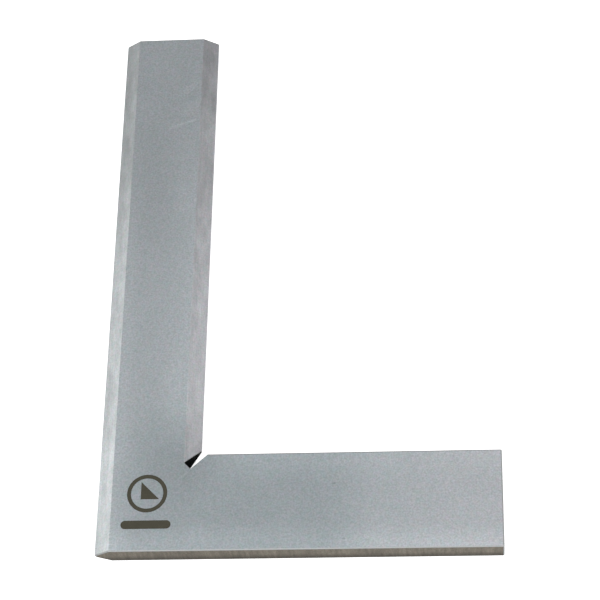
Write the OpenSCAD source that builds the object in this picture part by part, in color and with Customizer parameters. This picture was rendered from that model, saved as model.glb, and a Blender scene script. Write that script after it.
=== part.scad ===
// Bevel-edge precision square: a flat steel L with a knife-edged blade, a plain
// beam, a relief notch at the inner corner and a shallow etched mark.
// X runs along the beam, Y along the blade and Z through the thickness.
// The origin is the middle of the rectangle that encloses the back face.

/* [Limbs] */
// Length of the blade, from the beam's outer face to the blade's free end
blade_length = 150; // [120:5:200]
// Length of the beam, from the blade's outer knife edge to the beam's free end
beam_length = 100; // [70:5:150]
// Width of the blade and of the beam
limb_width = 25.4; // [22:0.2:32]
// Thickness of the steel
thickness = 6.35; // [5:0.05:8]
// Fine chamfer along the ground edges
edge_break = 0.25; // [0.1:0.05:0.4]

/* [Knife edges] */
// How far each bevel reaches in from its knife edge
bevel_width = 3.8; // [2.5:0.1:4.5]
// Height of the narrow flat along each knife edge
land_height = 0.8; // [0.2:0.1:1]

/* [Relief notch] */
// Width of the notch at its closed end
notch_end_width = 2.3; // [1.5:0.1:2.9]
// Width of the notch where it opens into the inner corner
notch_mouth_width = 2.9; // [2.9:0.1:4]

/* [Etched mark] */
// Outer diameter of the ring
ring_diameter = 10; // [9.5:0.5:11]
// Width of the ring's line
ring_line = 1; // [0.6:0.1:1]
// Length of the two equal sides of the triangle in the ring
triangle_side = 4.6; // [3:0.2:4.8]
// Length of the bar under the ring
bar_length = 12.4; // [6:0.2:14]
// Width of the bar under the ring
bar_width = 2.2; // [1:0.1:3]
// Depth of the etched recess
etch_depth = 0.1; // [0.05:0.01:0.2]
// Thickness of the dark film on the floor of the recess
film_thickness = 0.06; // [0.02:0.01:0.1]

/* [Hidden] */

steel_color = [0.64, 0.66, 0.67];
mark_color = [0.2, 0.19, 0.15];
overcut = 1;

// The knife edges lie at mid-thickness, and each land is centred on them.
land_low = (thickness - land_height) / 2;
land_high = (thickness + land_height) / 2;

// The notch's closed end just passes the bevel's inner line, so the bevel runs
// out into the notch.
notch_runout = 0.05;
notch_depth = sqrt(2) * (bevel_width + notch_runout) - notch_end_width / 2;
notch_reach = notch_mouth_width / 2 + 0.5;

// The corner block's inner outline runs down the middle of the notch.
block_tip = limb_width - (notch_depth - notch_runout) / sqrt(2);
block_shoulder = 2 * block_tip - (limb_width - bevel_width);

bar_center = [limb_width / 2, 6.9];
ring_center = [bar_center[0], 15.1];

// Moves the outer corner to its place in the part's own frame.
module placed() {
    translate([-beam_length / 2, -blade_length / 2, 0])
        children();
}

// Rectangle with its four corners cut off at 45 degrees.
module broken_rectangle(size) {
    polygon([
        [edge_break, 0],
        [size[0] - edge_break, 0],
        [size[0], edge_break],
        [size[0], size[1] - edge_break],
        [size[0] - edge_break, size[1]],
        [edge_break, size[1]],
        [0, size[1] - edge_break],
        [0, edge_break]
    ]);
}

// Extrudes a YZ outline along X, from x = 0.
module along_x(length) {
    rotate([90, 0, 90])
        linear_extrude(height = length)
            children();
}

// Extrudes an XZ outline along Y, from y = 0.
module along_y(length) {
    translate([0, length, 0])
        rotate([90, 0, 0])
            linear_extrude(height = length)
                children();
}

// Section of the blade: flat faces, double bevels and a narrow land on each side.
module blade_section() {
    polygon([
        [0, land_low],
        [bevel_width, 0],
        [limb_width - bevel_width, 0],
        [limb_width, land_low],
        [limb_width, land_high],
        [limb_width - bevel_width, thickness],
        [bevel_width, thickness],
        [0, land_high]
    ]);
}

// Corner block at full thickness: it ends the inner bevel inside the notch.
module corner_block() {
    linear_extrude(height = thickness)
        polygon([
            [limb_width / 2, 0],
            [limb_width, 0],
            [limb_width, limb_width],
            [block_tip, block_tip],
            [limb_width - bevel_width, block_shoulder],
            [limb_width / 2, block_shoulder]
        ]);
}

// Tapered slot at 45 degrees, cut right through at the inner corner.
module relief_notch() {
    translate([limb_width, limb_width, -overcut])
        rotate([0, 0, 45])
            linear_extrude(height = thickness + 2 * overcut)
                polygon([
                    [-notch_depth, -notch_end_width / 2],
                    [notch_reach, -notch_mouth_width / 2],
                    [notch_reach, notch_mouth_width / 2],
                    [-notch_depth, notch_end_width / 2]
                ]);
}

module ring_outline() {
    translate(ring_center)
        difference() {
            circle(d = ring_diameter, $fn = 96);
            circle(d = ring_diameter - 2 * ring_line, $fn = 96);
        }
}

// Right-angled triangle with its centroid at the ring's centre.
module triangle_outline() {
    translate(ring_center - [triangle_side, triangle_side] / 3)
        polygon([
            [0, 0],
            [triangle_side, 0],
            [0, triangle_side]
        ]);
}

module bar_outline() {
    straight = bar_length - bar_width;
    translate(bar_center) {
        square([straight, bar_width], center = true);
        for (side = [-1, 1])
            translate([side * straight / 2, 0])
                circle(d = bar_width, $fn = 48);
    }
}

// Cuts an outline down to the floor of the etched recess.
module etched() {
    translate([0, 0, thickness - etch_depth])
        linear_extrude(height = etch_depth + overcut)
            children();
}

// Dark film on the floor of the recess.
module film() {
    color(mark_color)
        placed()
            translate([0, 0, thickness - etch_depth])
                linear_extrude(height = film_thickness)
                    children();
}

module blade() {
    color(steel_color)
        placed()
            difference() {
                intersection() {
                    union() {
                        along_y(blade_length)
                            blade_section();
                        corner_block();
                    }
                    along_x(limb_width)
                        broken_rectangle([blade_length, thickness]);
                }
                relief_notch();
                etched() ring_outline();
                etched() triangle_outline();
                etched() bar_outline();
            }
}

module beam() {
    color(steel_color)
        placed()
            difference() {
                intersection() {
                    translate([limb_width, 0, 0])
                        cube([beam_length - limb_width, limb_width, thickness]);
                    along_x(beam_length)
                        broken_rectangle([limb_width, thickness]);
                    along_y(limb_width)
                        broken_rectangle([beam_length, thickness]);
                    linear_extrude(height = thickness)
                        broken_rectangle([beam_length, limb_width]);
                }
                relief_notch();
            }
}

module mark_ring() {
    film() ring_outline();
}

module mark_triangle() {
    film() triangle_outline();
}

module mark_bar() {
    film() bar_outline();
}

blade();
beam();
mark_ring();
mark_triangle();
mark_bar();
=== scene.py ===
"""Looks for a bevel-edge steel square: ground steel limbs with rounded edges, and a dark etched mark."""

import math

import bmesh
import bpy
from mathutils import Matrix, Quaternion, Vector


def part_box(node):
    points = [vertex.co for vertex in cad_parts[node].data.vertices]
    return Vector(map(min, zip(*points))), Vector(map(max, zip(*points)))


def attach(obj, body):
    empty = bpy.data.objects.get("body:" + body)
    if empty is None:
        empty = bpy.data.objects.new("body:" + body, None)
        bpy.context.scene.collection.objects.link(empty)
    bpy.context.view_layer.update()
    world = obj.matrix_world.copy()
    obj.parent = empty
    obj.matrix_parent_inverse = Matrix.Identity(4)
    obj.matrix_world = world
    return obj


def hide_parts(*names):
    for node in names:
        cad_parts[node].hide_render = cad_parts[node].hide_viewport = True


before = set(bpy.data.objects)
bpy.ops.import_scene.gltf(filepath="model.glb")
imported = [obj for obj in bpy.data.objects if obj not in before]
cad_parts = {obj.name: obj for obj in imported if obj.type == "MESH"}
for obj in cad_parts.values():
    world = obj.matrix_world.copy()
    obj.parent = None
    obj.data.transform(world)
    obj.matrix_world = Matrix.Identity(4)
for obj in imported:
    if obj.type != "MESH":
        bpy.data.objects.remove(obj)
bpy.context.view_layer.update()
MM = 0.001

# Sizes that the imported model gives, in metres.
BLADE_LOW, BLADE_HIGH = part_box("blade")
BEAM_LOW, BEAM_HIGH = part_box("beam")
FILM_LOW, FILM_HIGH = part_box("mark_ring")
CORNER = Vector((BLADE_LOW.x, BLADE_LOW.y, 0.0))
LIMB_WIDTH = BLADE_HIGH.x - BLADE_LOW.x
BLADE_LENGTH = BLADE_HIGH.y - BLADE_LOW.y
BEAM_LENGTH = BEAM_HIGH.x - BLADE_LOW.x
THICKNESS = BLADE_HIGH.z

# Sizes of features inside the boxes.
BEVEL_WIDTH = 3.8 * MM
LAND_HEIGHT = 0.7 * MM
NOTCH_END_WIDTH = 2.3 * MM
NOTCH_MOUTH_WIDTH = 2.9 * MM
NOTCH_RUNOUT = 0.05 * MM
RECESS_FLOOR = FILM_LOW.z
RING_LINE = 1.0 * MM

# Noise cells per millimetre of the satin grain and of its shifts in hue.
GRAIN_SCALE = 2.4
HUE_SCALE = 1.0

# How far each kind of edge is rounded back.
BREAK_RADIUS = 0.3 * MM
KNIFE_RADIUS = 0.2 * MM
SHOULDER_RADIUS = 0.1 * MM
NOTCH_RADIUS = 0.12 * MM
KNIFE_END_RADIUS = 0.55 * MM
WIDEST_RADIUS = KNIFE_END_RADIUS
ROUNDING_SEGMENTS = 3
SHARP_ANGLE = math.radians(40)

# Camera: where it looks, and from where.
CAMERA_TARGET = Vector((-0.75, -5.30, 3.0)) * MM
CAMERA_DISTANCE = 543.3 * MM
CAMERA_AZIMUTH = math.radians(10.09)
CAMERA_ELEVATION = math.radians(61.96)
CAMERA_ROLL = math.radians(-10.25)
CAMERA_LENS = 126.16


# ---------------------------------------------------------------- node graphs


class Graph:
    """Short calls for building one node tree. Places in a material are in millimetres."""

    def __init__(self, tree):
        self.tree = tree

    def node(self, kind, **settings):
        made = self.tree.nodes.new(kind)
        for name, value in settings.items():
            setattr(made, name, value)
        return made

    def feed(self, socket, value):
        if isinstance(value, bpy.types.NodeSocket):
            self.tree.links.new(value, socket)
        else:
            socket.default_value = value

    def math(self, operation, a, b=0.0):
        made = self.node("ShaderNodeMath", operation=operation)
        self.feed(made.inputs[0], a)
        self.feed(made.inputs[1], b)
        return made.outputs[0]

    def add(self, a, b):
        return self.math("ADD", a, b)

    def times(self, a, b):
        return self.math("MULTIPLY", a, b)

    def vector(self, operation, a, b=(0.0, 0.0, 0.0)):
        made = self.node("ShaderNodeVectorMath", operation=operation)
        self.feed(made.inputs[0], a)
        self.feed(made.inputs[1], b)
        return made.outputs["Value" if operation in ("LENGTH", "DOT_PRODUCT") else "Vector"]

    def span(self, value, low, high, to_low=0.0, to_high=1.0, smooth=True):
        made = self.node("ShaderNodeMapRange", clamp=True)
        made.interpolation_type = "SMOOTHSTEP" if smooth else "LINEAR"
        self.feed(made.inputs["From Min"], low)
        self.feed(made.inputs["From Max"], high)
        self.feed(made.inputs["To Min"], to_low)
        self.feed(made.inputs["To Max"], to_high)
        self.feed(made.inputs["Value"], value)
        return made.outputs["Result"]

    def millimetres(self):
        coordinates = self.node("ShaderNodeTexCoord")
        return self.vector("MULTIPLY", coordinates.outputs["Object"], (1 / MM,) * 3)

    def noise(self, place, scale, detail=2.0, roughness=0.5):
        made = self.node("ShaderNodeTexNoise")
        self.feed(made.inputs["Vector"], place)
        made.inputs["Scale"].default_value = scale
        made.inputs["Detail"].default_value = detail
        made.inputs["Roughness"].default_value = roughness
        return made.outputs["Fac"]

    def swing(self, value, amount, middle=0.5):
        """A factor round 1: noise of 0 to 1 becomes 1 - amount to 1 + amount."""
        centred = self.math("SUBTRACT", value, middle)
        return self.add(self.times(centred, 2 * amount), 1.0)

    def separate(self, place):
        made = self.node("ShaderNodeSeparateXYZ")
        self.feed(made.inputs[0], place)
        return made.outputs

    def tint(self, colour, factor):
        made = self.node("ShaderNodeVectorMath", operation="SCALE")
        self.feed(made.inputs[0], colour)
        self.feed(made.inputs["Scale"], factor)
        return made.outputs[0]


def new_material(name):
    material = bpy.data.materials.new(name)
    material.use_nodes = True
    return material, Graph(material.node_tree), material.node_tree.nodes["Principled BSDF"]


def corner_place(graph):
    """Millimetres along the beam, along the blade and up, from the outer corner of the back face."""
    return graph.vector("SUBTRACT", graph.millimetres(), tuple(CORNER / MM))


def fade(graph, value, start, stop, amount):
    """A factor that goes from 1 to 1 + amount as the value goes from start to stop."""
    return graph.span(value, start, stop, 1.0, 1.0 + amount)


def product(graph, *factors):
    total = factors[0]
    for factor in factors[1:]:
        total = graph.times(total, factor)
    return total


def ground_grain(graph, place, stretch, line_amount, grain_amount):
    """Tone factor of fine grinding lines and an even satin grain, and the height for bump."""
    lines = graph.noise(graph.vector("MULTIPLY", place, stretch), 1.0, 3.0, 0.6)
    grain = graph.noise(place, GRAIN_SCALE, 1.0, 0.5)
    tone = graph.times(graph.swing(lines, line_amount), graph.swing(grain, grain_amount))
    return tone, graph.add(lines, grain), grain


def steel_shader(graph, shader, colour, tone, height, grain, roughness, coolness=0.0):
    """Bare steel: a metal with a slightly shifting hue, uneven gloss and a fine surface relief."""
    place = graph.millimetres()
    first = graph.noise(graph.vector("ADD", place, (31.0, 7.0, 3.0)), HUE_SCALE, 1.0, 0.5)
    second = graph.noise(graph.vector("ADD", place, (5.0, 43.0, 11.0)), HUE_SCALE, 1.0, 0.5)
    red = graph.math("SUBTRACT", graph.swing(first, 0.14), coolness)
    blue = graph.times(graph.swing(first, 0.055), graph.swing(second, 0.075))
    tinted = graph.node("ShaderNodeCombineXYZ")
    graph.feed(tinted.inputs[0], graph.times(red, colour[0]))
    graph.feed(tinted.inputs[1], colour[1])
    graph.feed(tinted.inputs[2], graph.times(blue, colour[2]))
    graph.feed(shader.inputs["Base Color"], graph.tint(tinted.outputs[0], tone))
    shader.inputs["Metallic"].default_value = 1.0
    graph.feed(shader.inputs["Roughness"], graph.times(graph.swing(grain, 0.15), roughness))
    bump = graph.node("ShaderNodeBump")
    bump.inputs["Strength"].default_value = 0.3
    bump.inputs["Distance"].default_value = 0.004 * MM
    graph.feed(bump.inputs["Height"], height)
    graph.feed(shader.inputs["Normal"], bump.outputs["Normal"])


def blob(graph, place, centre, reach):
    """1 at the centre of a soft ellipse and 0 outside it."""
    offset = graph.vector("SUBTRACT", place, (*centre, 0.0))
    scaled = graph.vector("MULTIPLY", offset, (1 / reach[0], 1 / reach[1], 0.0))
    return graph.span(graph.vector("LENGTH", scaled), 1.0, 0.15)


def stroke(graph, place, start, stop, width):
    """1 along the straight line from start to stop and 0 beyond its width, on either face."""
    length = math.dist(start, stop)
    along = ((stop[0] - start[0]) / length, (stop[1] - start[1]) / length, 0.0)
    offset = graph.vector("MULTIPLY", graph.vector("SUBTRACT", place, (*start, 0.0)), (1.0, 1.0, 0.0))
    reach = graph.span(graph.vector("DOT_PRODUCT", offset, along), 0.0, length, 0.0, length, smooth=False)
    foot = graph.node("ShaderNodeVectorMath", operation="SCALE")
    graph.feed(foot.inputs[0], along)
    graph.feed(foot.inputs["Scale"], reach)
    away = graph.vector("LENGTH", graph.vector("SUBTRACT", offset, foot.outputs[0]))
    return graph.span(away, width, 0.0)


def lighten(graph, mask, amount):
    """A factor of 1 + amount where the mask is 1."""
    return graph.add(1.0, graph.times(mask, amount))


def corner_cloud(graph, u, v):
    """The darker cloud round the inner corner and along the near half of the beam."""
    return product(graph, graph.span(u, 1, 15), graph.span(u, 72, 52), graph.span(v, 44, 25))


def face_tone(graph, place, u, v, cloud):
    """Soft clouds of the flat faces: darker at the inner corner, lighter along the borders."""
    blade_rim = product(graph, graph.span(u, 12, 23), graph.span(v, 22, 42), graph.span(v, 140, 90))
    beam_rim = product(graph, graph.span(v, 16, 25), graph.span(u, 26, 36), graph.span(u, 50, 75, 1.0, 0.5))
    outer_rim = product(graph, graph.span(u, 9, 4), graph.span(v, 130, 80))
    return product(
        graph,
        lighten(graph, cloud, -0.15),
        lighten(graph, blob(graph, place, (20, 21), (12, 12)), -0.08),
        lighten(graph, blob(graph, place, (9, 104), (9, 30)), -0.05),
        lighten(graph, blade_rim, 0.13),
        lighten(graph, beam_rim, 0.15),
        lighten(graph, outer_rim, 0.07),
        fade(graph, v, 8.0, 1.0, 0.15),
        fade(graph, v, 60, 110, -0.06),
        fade(graph, v, 132, 150, 0.04),
        fade(graph, u, 60, 100, 0.09),
    )


def wear_tone(graph, place):
    """Light rubbed scratches near the blade's tip and by the notch, and two dark specks on the beam."""
    return product(
        graph,
        lighten(graph, stroke(graph, place, (13.6, 121.3), (20.2, 123.6), 0.6), 0.15),
        lighten(graph, stroke(graph, place, (16.5, 132.5), (20.5, 135.5), 2.2), 0.07),
        lighten(graph, stroke(graph, place, (17.5, 126.0), (21.0, 130.0), 2.6), 0.05),
        lighten(graph, stroke(graph, place, (18.2, 17.0), (22.2, 20.4), 0.5), 0.09),
        lighten(graph, stroke(graph, place, (58.6, 17.1), (59.0, 17.1), 0.35), -0.3),
        lighten(graph, stroke(graph, place, (61.1, 2.6), (61.5, 2.6), 0.35), -0.25),
    )


def face_steel():
    material, graph, shader = new_material("face_steel")
    place = corner_place(graph)
    tone, height, grain = ground_grain(graph, place, (6.0, 0.12, 6.0), 0.03, 0.29)
    drift = graph.times(graph.math("SUBTRACT", graph.noise(place, 0.07, 2.0, 0.5), 0.5), 5.0)
    axes = graph.separate(place)
    u = graph.add(axes[0], drift)
    v = graph.math("SUBTRACT", axes[1], drift)
    cloud = corner_cloud(graph, u, v)
    clouds = graph.swing(graph.noise(place, 0.13, 3.0, 0.6), 0.04)
    tone = product(graph, tone, clouds, face_tone(graph, place, u, v, cloud), wear_tone(graph, place))
    coolness = graph.add(graph.times(cloud, 0.025), graph.span(u, 60, 100, 0.0, -0.03))
    steel_shader(graph, shader, (0.483, 0.52, 0.545), tone, height, grain, 0.4, coolness)
    return material


def bevel_steel(name, colour, far_tone, near_tone, shoulder_tone, patch):
    """Ground bevel: streaked along the blade, with painted reflection that darkens it towards the free end,
    changes its tone near the corner and at the shoulder, and in one patch.
    """
    material, graph, shader = new_material(name)
    place = corner_place(graph)
    tone, height, grain = ground_grain(graph, place, (2.6, 0.12, 2.6), 0.13, 0.2)
    axes = graph.separate(place)
    v = axes[1]
    patches = graph.noise(graph.vector("MULTIPLY", place, (0.4, 0.17, 0.4)), 1.0, 3.0, 0.6)
    blotches = graph.swing(patches, 0.3)
    # Painted reflection: one patch along the bevel, darker or lighter by the patch amount.
    middle, reach, amount = patch
    away = graph.math("ABSOLUTE", graph.math("SUBTRACT", v, middle))
    reflection_patch = fade(graph, away, reach, reach / 3, amount)
    # Painted reflection: darker towards the free end, with a changed tone near the corner and near the
    # shoulder.
    far = fade(graph, v, 60, 145, far_tone - 1)
    near = fade(graph, v, 44, 27, near_tone - 1)
    from_middle = graph.math("ABSOLUTE", graph.math("SUBTRACT", axes[0], LIMB_WIDTH / MM / 2))
    shoulder = fade(graph, from_middle, 11.6, 9.4, shoulder_tone - 1)
    tone = product(graph, tone, blotches, reflection_patch, far, near, shoulder)
    steel_shader(graph, shader, colour, tone, height, grain, 0.34)
    return material


def break_steel():
    """Narrow rounded edges, brighter than the faces that they part."""
    material, graph, shader = new_material("break_steel")
    tone, height, grain = ground_grain(graph, corner_place(graph), (1.0, 1.0, 1.0), 0.05, 0.08)
    steel_shader(graph, shader, (0.42, 0.435, 0.435), tone, height, grain, 0.42)
    return material


def edge_steel():
    """The dull brown-grey edges of the plate, crossed by the bands of a coarse grind, and darkened towards
    the floor as painted shade.
    """
    material, graph, shader = new_material("edge_steel")
    place = corner_place(graph)
    tone, height, grain = ground_grain(graph, place, (1.3, 1.3, 0.15), 0.55, 0.5)
    broad = graph.swing(graph.noise(graph.vector("MULTIPLY", place, (0.3, 0.3, 0.1)), 1.0, 3.0, 0.6), 0.3)
    axes = graph.separate(place)
    # Painted shade: the edges darken towards the floor, to half their tone at the bottom.
    low = fade(graph, axes[2], 3.6, 0.6, -0.5)
    tone = product(graph, tone, broad, low, fade(graph, axes[0], 20, 100, 0.18))
    steel_shader(graph, shader, (0.25, 0.225, 0.184), tone, height, grain, 0.5)
    return material


def notch_shade():
    """Near-black walls of the relief notch: painted shade of the narrow slot."""
    material, graph, shader = new_material("notch_shade")
    grain = graph.noise(graph.millimetres(), 3.0, 4.0, 0.6)
    # Painted shade: a near-black colour stands in for the shade inside the slot.
    graph.feed(shader.inputs["Base Color"], graph.tint((0.006, 0.009, 0.0075), graph.swing(grain, 0.3)))
    graph.feed(shader.inputs["Roughness"], graph.times(graph.swing(grain, 0.1), 0.7))
    shader.inputs["Specular IOR Level"].default_value = 0.1
    return material


def etched_oxide():
    """Matt dark oxide left on the floor of the etched mark."""
    material, graph, shader = new_material("etched_oxide")
    place = graph.millimetres()
    grain = graph.noise(place, 3.0, 4.0, 0.65)
    patches = graph.noise(place, 0.6, 2.0, 0.5)
    tone = graph.times(graph.swing(grain, 0.3), graph.swing(patches, 0.15))
    graph.feed(shader.inputs["Base Color"], graph.tint((0.062, 0.058, 0.04), tone))
    graph.feed(shader.inputs["Roughness"], graph.times(graph.swing(grain, 0.1), 0.65))
    shader.inputs["Specular IOR Level"].default_value = 0.25
    return material


SQUARE_MATERIALS = [
    face_steel(),
    bevel_steel("outer_bevel_steel", (0.653, 0.688, 0.7), 0.7, 1.07, 1.09, (113, 12, -0.1)),
    bevel_steel("inner_bevel_steel", (0.674, 0.687, 0.715), 0.74, 0.82, 0.95, (121, 9, 0.08)),
    break_steel(),
    edge_steel(),
    notch_shade(),
    etched_oxide(),
]
FACE, OUTER_BEVEL, INNER_BEVEL, BREAK, EDGE, NOTCH, OXIDE = range(len(SQUARE_MATERIALS))


# ---------------------------------------------------------------- steel limbs


def notch_points():
    """Plan points of the relief notch, from its mouth on the beam round to its mouth on the blade."""
    depth = math.sqrt(2) * (BEVEL_WIDTH + NOTCH_RUNOUT) - NOTCH_END_WIDTH / 2
    reach = NOTCH_MOUTH_WIDTH / 2 + 0.5 * MM
    along = Vector((1, 1)).normalized()
    across = Vector((-1, 1)).normalized()
    inner = Vector((LIMB_WIDTH, LIMB_WIDTH))

    def wall(side):
        end = inner - along * depth + across * side * NOTCH_END_WIDTH / 2
        mouth = inner + along * reach + across * side * NOTCH_MOUTH_WIDTH / 2
        return end, mouth

    def at(a, b, axis, value):
        return a + (b - a) * ((value - a[axis]) / (b[axis] - a[axis]))

    beam_end, beam_mouth = wall(-1)
    blade_end, blade_mouth = wall(1)
    return {
        "beam_mouth": at(beam_end, beam_mouth, 1, LIMB_WIDTH),
        "beam_end": beam_end,
        "blade_end": blade_end,
        "shoulder": at(blade_end, blade_mouth, 0, LIMB_WIDTH - BEVEL_WIDTH),
        "knife": at(blade_end, blade_mouth, 0, LIMB_WIDTH),
    }


def rounding_radius(edge):
    """How far back an edge of the solid is rounded."""
    kinds = {f.material_index for f in edge.link_faces}
    bevels = {OUTER_BEVEL, INNER_BEVEL}
    upright = abs(edge.verts[0].co.z - edge.verts[1].co.z) > 0.1 * MM
    if NOTCH in kinds:
        return NOTCH_RADIUS
    if kinds <= bevels:
        return KNIFE_RADIUS
    if FACE in kinds and kinds & bevels:
        return SHOULDER_RADIUS
    if upright and kinds == {EDGE, OUTER_BEVEL} and edge.calc_length() < 1.1 * LAND_HEIGHT:
        return KNIFE_END_RADIUS
    return BREAK_RADIUS


def outline_points():
    """Plan points of the flat faces' outline, and those of the knife edges."""
    notch = notch_points()
    plan = {
        "heel": Vector((BEVEL_WIDTH, 0)),
        "toe": Vector((BEAM_LENGTH, 0)),
        "toe_in": Vector((BEAM_LENGTH, LIMB_WIDTH)),
        "mouth": notch["beam_mouth"],
        "slot_low": notch["beam_end"],
        "slot_up": notch["blade_end"],
        "shoulder": notch["shoulder"],
        "tip_in": Vector((LIMB_WIDTH - BEVEL_WIDTH, BLADE_LENGTH)),
        "tip_out": Vector((BEVEL_WIDTH, BLADE_LENGTH)),
    }
    knife = {
        "knife_heel": Vector((0, 0)),
        "knife_tip": Vector((0, BLADE_LENGTH)),
        "knife_slot": notch["knife"],
        "knife_end": Vector((LIMB_WIDTH, BLADE_LENGTH)),
    }
    return plan, knife


def square_solid():
    """The whole steel L as one closed mesh with a rounding weight on each edge."""
    low = (THICKNESS - LAND_HEIGHT) / 2
    high = (THICKNESS + LAND_HEIGHT) / 2
    plan, knife = outline_points()
    mesh = bmesh.new()
    weight = mesh.edges.layers.float.new("bevel_weight_edge")
    point = {}
    for name, at in plan.items():
        point[name, 0] = mesh.verts.new(CORNER + Vector((at.x, at.y, 0)))
        point[name, 1] = mesh.verts.new(CORNER + Vector((at.x, at.y, THICKNESS)))
    for name, at in knife.items():
        point[name, 0] = mesh.verts.new(CORNER + Vector((at.x, at.y, low)))
        point[name, 1] = mesh.verts.new(CORNER + Vector((at.x, at.y, high)))

    def face(material, *corners):
        made = mesh.faces.new([point[c] for c in corners])
        made.material_index = material

    def wall(material, a, b):
        face(material, (a, 0), (b, 0), (b, 1), (a, 1))

    face(FACE, *[(name, 1) for name in plan])
    face(FACE, *[(name, 0) for name in reversed(plan)])
    face(EDGE, ("heel", 1), ("knife_heel", 1), ("knife_heel", 0), ("heel", 0), ("toe", 0), ("toe", 1))
    wall(EDGE, "toe", "toe_in")
    wall(EDGE, "toe_in", "mouth")
    wall(NOTCH, "mouth", "slot_low")
    wall(NOTCH, "slot_low", "slot_up")
    face(NOTCH, ("slot_up", 1), ("slot_up", 0), ("shoulder", 0), ("knife_slot", 0), ("knife_slot", 1),
         ("shoulder", 1))
    wall(INNER_BEVEL, "knife_slot", "knife_end")
    wall(OUTER_BEVEL, "knife_tip", "knife_heel")
    face(EDGE, ("tip_in", 1), ("knife_end", 1), ("knife_end", 0), ("tip_in", 0), ("tip_out", 0),
         ("knife_tip", 0), ("knife_tip", 1), ("tip_out", 1))
    face(INNER_BEVEL, ("shoulder", 1), ("knife_slot", 1), ("knife_end", 1), ("tip_in", 1))
    face(INNER_BEVEL, ("tip_in", 0), ("knife_end", 0), ("knife_slot", 0), ("shoulder", 0))
    face(OUTER_BEVEL, ("tip_out", 1), ("knife_tip", 1), ("knife_heel", 1), ("heel", 1))
    face(OUTER_BEVEL, ("heel", 0), ("knife_heel", 0), ("knife_tip", 0), ("tip_out", 0))
    bmesh.ops.recalc_face_normals(mesh, faces=mesh.faces)
    for edge in mesh.edges:
        edge[weight] = rounding_radius(edge) / WIDEST_RADIUS
    return mesh


def settle(name, obj):
    """Applies an object's modifiers and returns it with its final mesh."""
    graph = bpy.context.evaluated_depsgraph_get()
    mesh = bpy.data.meshes.new_from_object(obj.evaluated_get(graph))
    obj.modifiers.clear()
    obj.data = mesh
    mesh.name = name
    return obj


def new_object(name, mesh, materials):
    data = bpy.data.meshes.new(name)
    mesh.to_mesh(data)
    mesh.free()
    for material in materials:
        data.materials.append(material)
    obj = bpy.data.objects.new(name, data)
    bpy.context.scene.collection.objects.link(obj)
    return obj


def rounded_square():
    """The solid with rounded edges, whose long strips on the blade match the bevels beside them."""
    obj = new_object("square_solid", square_solid(), SQUARE_MATERIALS)
    rounding = obj.modifiers.new("rounding", "BEVEL")
    rounding.limit_method = "WEIGHT"
    rounding.width = WIDEST_RADIUS
    rounding.segments = ROUNDING_SEGMENTS
    rounding.use_clamp_overlap = False
    rounding.material = BREAK
    settle("square_solid", obj)
    for strip in obj.data.polygons:
        along = [obj.data.vertices[i].co.y for i in strip.vertices]
        across = strip.center.x - CORNER.x
        if strip.material_index == BREAK and max(along) - min(along) > 10 * MM and across < LIMB_WIDTH:
            strip.material_index = OUTER_BEVEL if across < LIMB_WIDTH / 2 else INNER_BEVEL
    return obj


def prism(outline, low, high):
    """Closed prism over one plan outline, as a bmesh."""
    mesh = bmesh.new()
    bottom = [mesh.verts.new((x, y, low)) for x, y in outline]
    top = [mesh.verts.new((x, y, high)) for x, y in outline]
    mesh.faces.new(bottom[::-1])
    mesh.faces.new(top)
    for a, b, c, d in zip(bottom, bottom[1:] + bottom[:1], top[1:] + top[:1], top):
        mesh.faces.new((a, b, c, d))
    bmesh.ops.recalc_face_normals(mesh, faces=mesh.faces)
    for f in mesh.faces:
        f.material_index = OXIDE
    return mesh


def arc(centre, radius, start, stop, steps):
    for i in range(steps + 1):
        angle = start + (stop - start) * i / steps
        yield centre[0] + radius * math.cos(angle), centre[1] + radius * math.sin(angle)


def ring_mesh(low, high, steps=96):
    """The ring's prism, between two circles."""
    box_low, box_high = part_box("mark_ring")
    centre = (box_low + box_high) / 2
    outer = (box_high.x - box_low.x) / 2
    mesh = bmesh.new()
    loops = {}
    for radius in (outer, outer - RING_LINE):
        for z in (low, high):
            points = list(arc(centre, radius, 0, math.tau, steps))[:-1]
            loops[radius == outer, z] = [mesh.verts.new((x, y, z)) for x, y in points]
    section = [(True, low), (True, high), (False, high), (False, low)]
    for i in range(steps):
        j = (i + 1) % steps
        for a, b in zip(section, section[1:] + section[:1]):
            mesh.faces.new((loops[a][i], loops[a][j], loops[b][j], loops[b][i]))
    bmesh.ops.recalc_face_normals(mesh, faces=mesh.faces)
    for f in mesh.faces:
        f.material_index = OXIDE
    return mesh


def triangle_mesh(low, high):
    a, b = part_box("mark_triangle")
    return prism([(a.x, a.y), (b.x, a.y), (a.x, b.y)], low, high)


def bar_mesh(low, high, steps=24):
    a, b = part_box("mark_bar")
    radius = (b.y - a.y) / 2
    middle = (a.y + b.y) / 2
    quarter = math.pi / 2
    outline = list(arc((b.x - radius, middle), radius, -quarter, quarter, steps))
    outline += list(arc((a.x + radius, middle), radius, quarter, 3 * quarter, steps))
    return prism(outline, low, high)


def cut(obj, cutter):
    tool = new_object("cutter", cutter, SQUARE_MATERIALS)
    boolean = obj.modifiers.new("cut", "BOOLEAN")
    boolean.operation = "DIFFERENCE"
    boolean.solver = "EXACT"
    boolean.material_mode = "INDEX"
    boolean.object = tool
    settle(obj.name, obj)
    bpy.data.objects.remove(tool)


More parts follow.
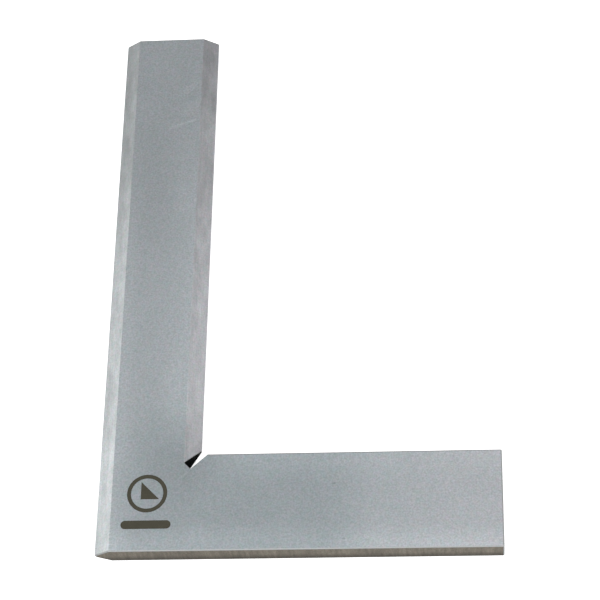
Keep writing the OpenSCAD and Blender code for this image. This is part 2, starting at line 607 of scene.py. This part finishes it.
def limb(name, source, keep_beam):
    """One limb of the steel, parted from the other on the plane of the inner knife edge."""
    split_x = CORNER.x + LIMB_WIDTH
    split_y = CORNER.y + LIMB_WIDTH
    mesh = bmesh.new()
    mesh.from_mesh(source.data)
    near = [f for f in mesh.faces if min(v.co.y for v in f.verts) < split_y]
    edges = dict.fromkeys(e for f in near for e in f.edges)
    corners = dict.fromkeys(v for f in near for v in f.verts)
    geometry = [*near, *edges, *corners]
    bmesh.ops.bisect_plane(mesh, geom=geometry, plane_co=(split_x, 0, 0), plane_no=(1, 0, 0), dist=1e-7)

    def in_beam(f):
        middle = f.calc_center_median()
        return middle.x > split_x and middle.y < split_y + 0.1 * MM

    gone = [f for f in mesh.faces if in_beam(f) != keep_beam]
    bmesh.ops.delete(mesh, geom=gone, context="FACES")
    rim = [e for e in mesh.edges if e.is_boundary]
    made = bmesh.ops.contextual_create(mesh, geom=rim)
    for f in made["faces"]:
        f.material_index = EDGE
    bmesh.ops.recalc_face_normals(mesh, faces=mesh.faces)
    return shaded(new_object(name, mesh, SQUARE_MATERIALS))


def shaded(obj):
    """Smooth shading that keeps large faces flat and edges over SHARP_ANGLE crisp."""
    mesh = bmesh.new()
    mesh.from_mesh(obj.data)
    for f in mesh.faces:
        f.smooth = True
    for edge in mesh.edges:
        edge.smooth = edge.is_manifold and edge.calc_face_angle() < SHARP_ANGLE
    mesh.to_mesh(obj.data)
    mesh.free()
    weighted = obj.modifiers.new("weighted", "WEIGHTED_NORMAL")
    weighted.keep_sharp = True
    return obj


def finish_piece(obj, node):
    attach(obj, "root")
    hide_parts(node)


def make_square():
    solid = rounded_square()
    above = THICKNESS + 1 * MM
    for shape in (ring_mesh, triangle_mesh, bar_mesh):
        cut(solid, shape(RECESS_FLOOR, above))
    finish_piece(limb("blade_steel", solid, False), "blade")
    finish_piece(limb("beam_steel", solid, True), "beam")
    bpy.data.objects.remove(solid)


def make_mark():
    for name, mesh in (("ring", ring_mesh), ("triangle", triangle_mesh), ("bar", bar_mesh)):
        film = new_object("etched_" + name, mesh(FILM_LOW.z, FILM_HIGH.z), SQUARE_MATERIALS)
        finish_piece(shaded(film), "mark_" + name)


# ---------------------------------------------------------------- stage, light and camera


def make_floor():
    mesh = bmesh.new()
    bmesh.ops.create_grid(mesh, x_segments=1, y_segments=1, size=4.0)
    material, graph, shader = new_material("floor_paper")
    shader.inputs["Base Color"].default_value = (0.75, 0.75, 0.75, 1)
    shader.inputs["Roughness"].default_value = 0.95
    shader.inputs["Emission Color"].default_value = (1, 1, 1, 1)
    seen = graph.node("ShaderNodeLightPath").outputs["Is Camera Ray"]
    graph.feed(shader.inputs["Emission Strength"], graph.times(seen, 0.85))
    shader.inputs["Specular IOR Level"].default_value = 0.1
    floor = new_object("floor", mesh, [material])
    floor.location.z = -0.02 * MM


def make_world():
    """Soft light from all round: stronger in front and overhead, weaker behind the square."""
    world = bpy.data.worlds.new("studio")
    world.use_nodes = True
    bpy.context.scene.world = world
    graph = Graph(world.node_tree)
    background = world.node_tree.nodes["Background"]
    direction = graph.separate(graph.node("ShaderNodeTexCoord").outputs["Generated"])
    depth = graph.span(direction[1], -0.1, 0.75, 1.3, 0.3, smooth=False)
    side = graph.times(direction[0], -0.08)
    graph.feed(background.inputs["Strength"], graph.add(depth, side))
    background.inputs["Color"].default_value = (1, 1, 1, 1)


def make_camera():
    level = math.cos(CAMERA_ELEVATION)
    sideways = math.sin(CAMERA_AZIMUTH) * level
    forward = math.cos(CAMERA_AZIMUTH) * level
    back = Vector((sideways, -forward, math.sin(CAMERA_ELEVATION)))
    data = bpy.data.cameras.new("camera")
    data.lens = CAMERA_LENS
    data.sensor_width = 36.0
    data.clip_start = 0.01
    data.clip_end = 20.0
    camera = bpy.data.objects.new("camera", data)
    camera.location = CAMERA_TARGET + back * CAMERA_DISTANCE
    camera.rotation_mode = "QUATERNION"
    aim = (-back).to_track_quat("-Z", "Y")
    camera.rotation_quaternion = aim @ Quaternion((0, 0, 1), CAMERA_ROLL)
    bpy.context.scene.collection.objects.link(camera)
    bpy.context.scene.camera = camera


make_camera()
make_square()
make_mark()
make_floor()
make_world()
bpy.context.scene.view_settings.view_transform = "Standard"
